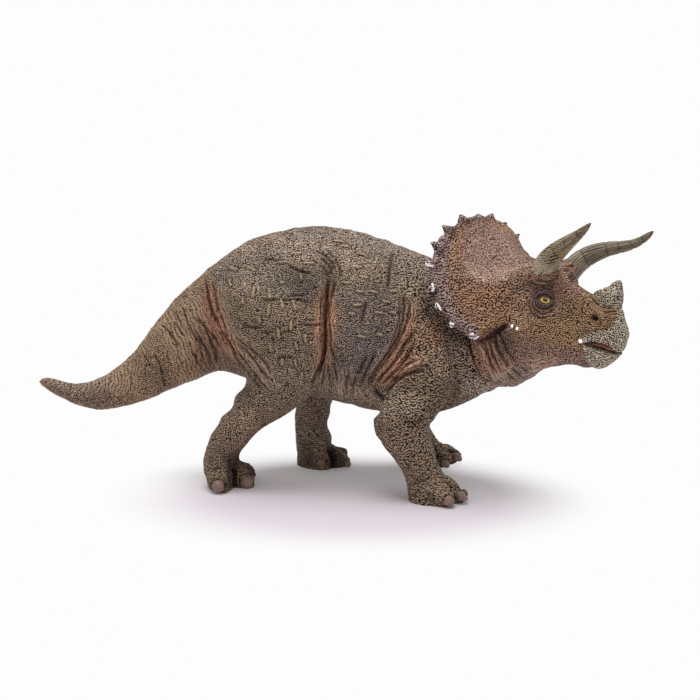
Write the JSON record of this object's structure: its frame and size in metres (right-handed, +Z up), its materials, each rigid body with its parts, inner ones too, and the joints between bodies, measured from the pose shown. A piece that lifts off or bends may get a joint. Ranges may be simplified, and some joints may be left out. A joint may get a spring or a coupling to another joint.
{
  "type": "toy dinosaur figure",
  "caption": "Standing toy figure of a horned, frilled dinosaur in mid step, with a hollow body and glued-on legs, tail, head, beak and horns.",
  "frame": {"origin": "on the ground plane under the soles, at the middle of the figure's bounding box seen from above", "axes": "+X from the tail towards the snout, +Y to the animal's left, +Z up"},
  "size_m": [0.223, 0.0764, 0.1006],
  "materials": {
    "skin": "moulded scaly hide, brown with a dark wash, tan dry brushing and rust in the creases",
    "head_skin": "moulded scaly hide, orange brown cheeks and a pinkish brown frill",
    "beak": "grey beige horn with fine cracks",
    "horn": "grey beige horn with lengthwise streaks and fine cracks"
  },
  "bodies": {
    "root": {"torso_right_shell": "skin", "torso_left_shell": "skin", "tail": "skin", "hindleg_right": "skin", "hindleg_left": "skin", "foreleg_right": "skin", "foreleg_left": "skin", "head": "head_skin", "lower_jaw": "beak", "brow_horn_right": "horn", "brow_horn_left": "horn", "nose_horn": "horn"}
  },
  "joints": []
}
